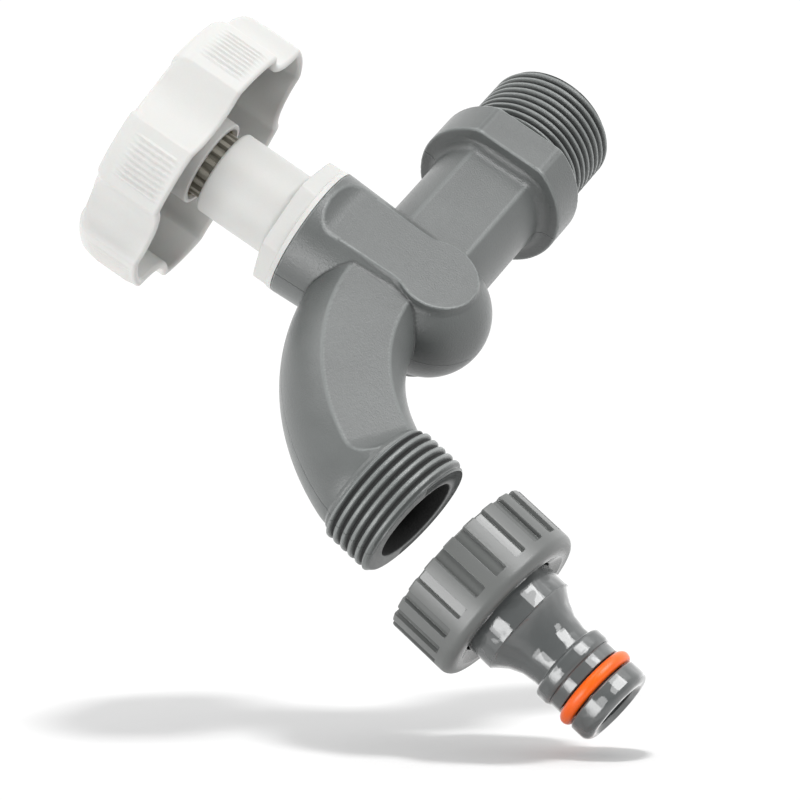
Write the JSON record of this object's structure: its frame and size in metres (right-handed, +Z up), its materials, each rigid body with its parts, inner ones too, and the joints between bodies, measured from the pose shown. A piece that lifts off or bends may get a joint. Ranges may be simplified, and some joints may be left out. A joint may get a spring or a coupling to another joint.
{
  "type": "rain barrel tap",
  "caption": "Plastic barrel tap with a threaded flanged inlet, white handwheel, downswept threaded spout and a separate hose adaptor below it",
  "frame": {"origin": "centre of the flange face that seats on the barrel, on the axis of the inlet thread", "axes": "+X out along the inlet thread into the barrel, +Z up along the spindle, the spout points to -X and down"},
  "size_m": [0.1207, 0.0552, 0.1385],
  "materials": {
    "body_plastic": "fine spark-eroded moulding texture, mid grey",
    "white_plastic": "smooth satin moulding, warm white",
    "spindle_plastic": "smooth moulding, greasy sheen",
    "nut_plastic": "glossy moulding, mid grey",
    "nipple_plastic": "high gloss moulding, dark grey",
    "ring_rubber": "smooth orange rubber",
    "seal_rubber": "matt black rubber",
    "screw_steel": "plain bright steel"
  },
  "bodies": {
    "housing": {"tap_body": "body_plastic", "bonnet": "white_plastic", "bonnet_ring": "seal_rubber"},
    "valve": {"valve_head": "white_plastic", "seat_disc": "seal_rubber", "disc_washer": "screw_steel", "disc_screw": "screw_steel"},
    "wheel": {"spindle": "spindle_plastic", "stem_ring_lower": "seal_rubber", "stem_ring_upper": "seal_rubber", "handwheel": "white_plastic", "wheel_screw": "screw_steel", "screw_washer": "screw_steel", "wheel_cap": "white_plastic"},
    "adaptor": {"hose_nipple": "nipple_plastic", "flat_seal": "seal_rubber", "nipple_ring": "ring_rubber"},
    "nut": {"union_nut": "nut_plastic"}
  },
  "joints": [
    {"name": "valve_lift", "type": "slide", "parent": "housing", "child": "valve", "axis": [0, 0, 1], "range_m": [0, 0.0045]},
    {"name": "wheel_turn", "type": "hinge", "parent": "valve", "child": "wheel", "pos_m": [-0.0417, 0, 0.05], "axis": [0, 0, 1], "range_deg": [0, 540]},
    {"name": "adaptor_slide", "type": "slide", "parent": "housing", "child": "adaptor", "axis": [0.1719, 0, 0.9851], "range_m": [0, 0.0171]},
    {"name": "nut_turn", "type": "hinge", "parent": "adaptor", "child": "nut", "pos_m": [-0.08515, 0, -0.03952], "axis": [-0.1719, 0, -0.9851], "continuous": true}
  ],
  "couplings": [
    {"joint": "valve_lift", "follows": "wheel_turn", "m_per_rad": 0.00047746}
  ]
}
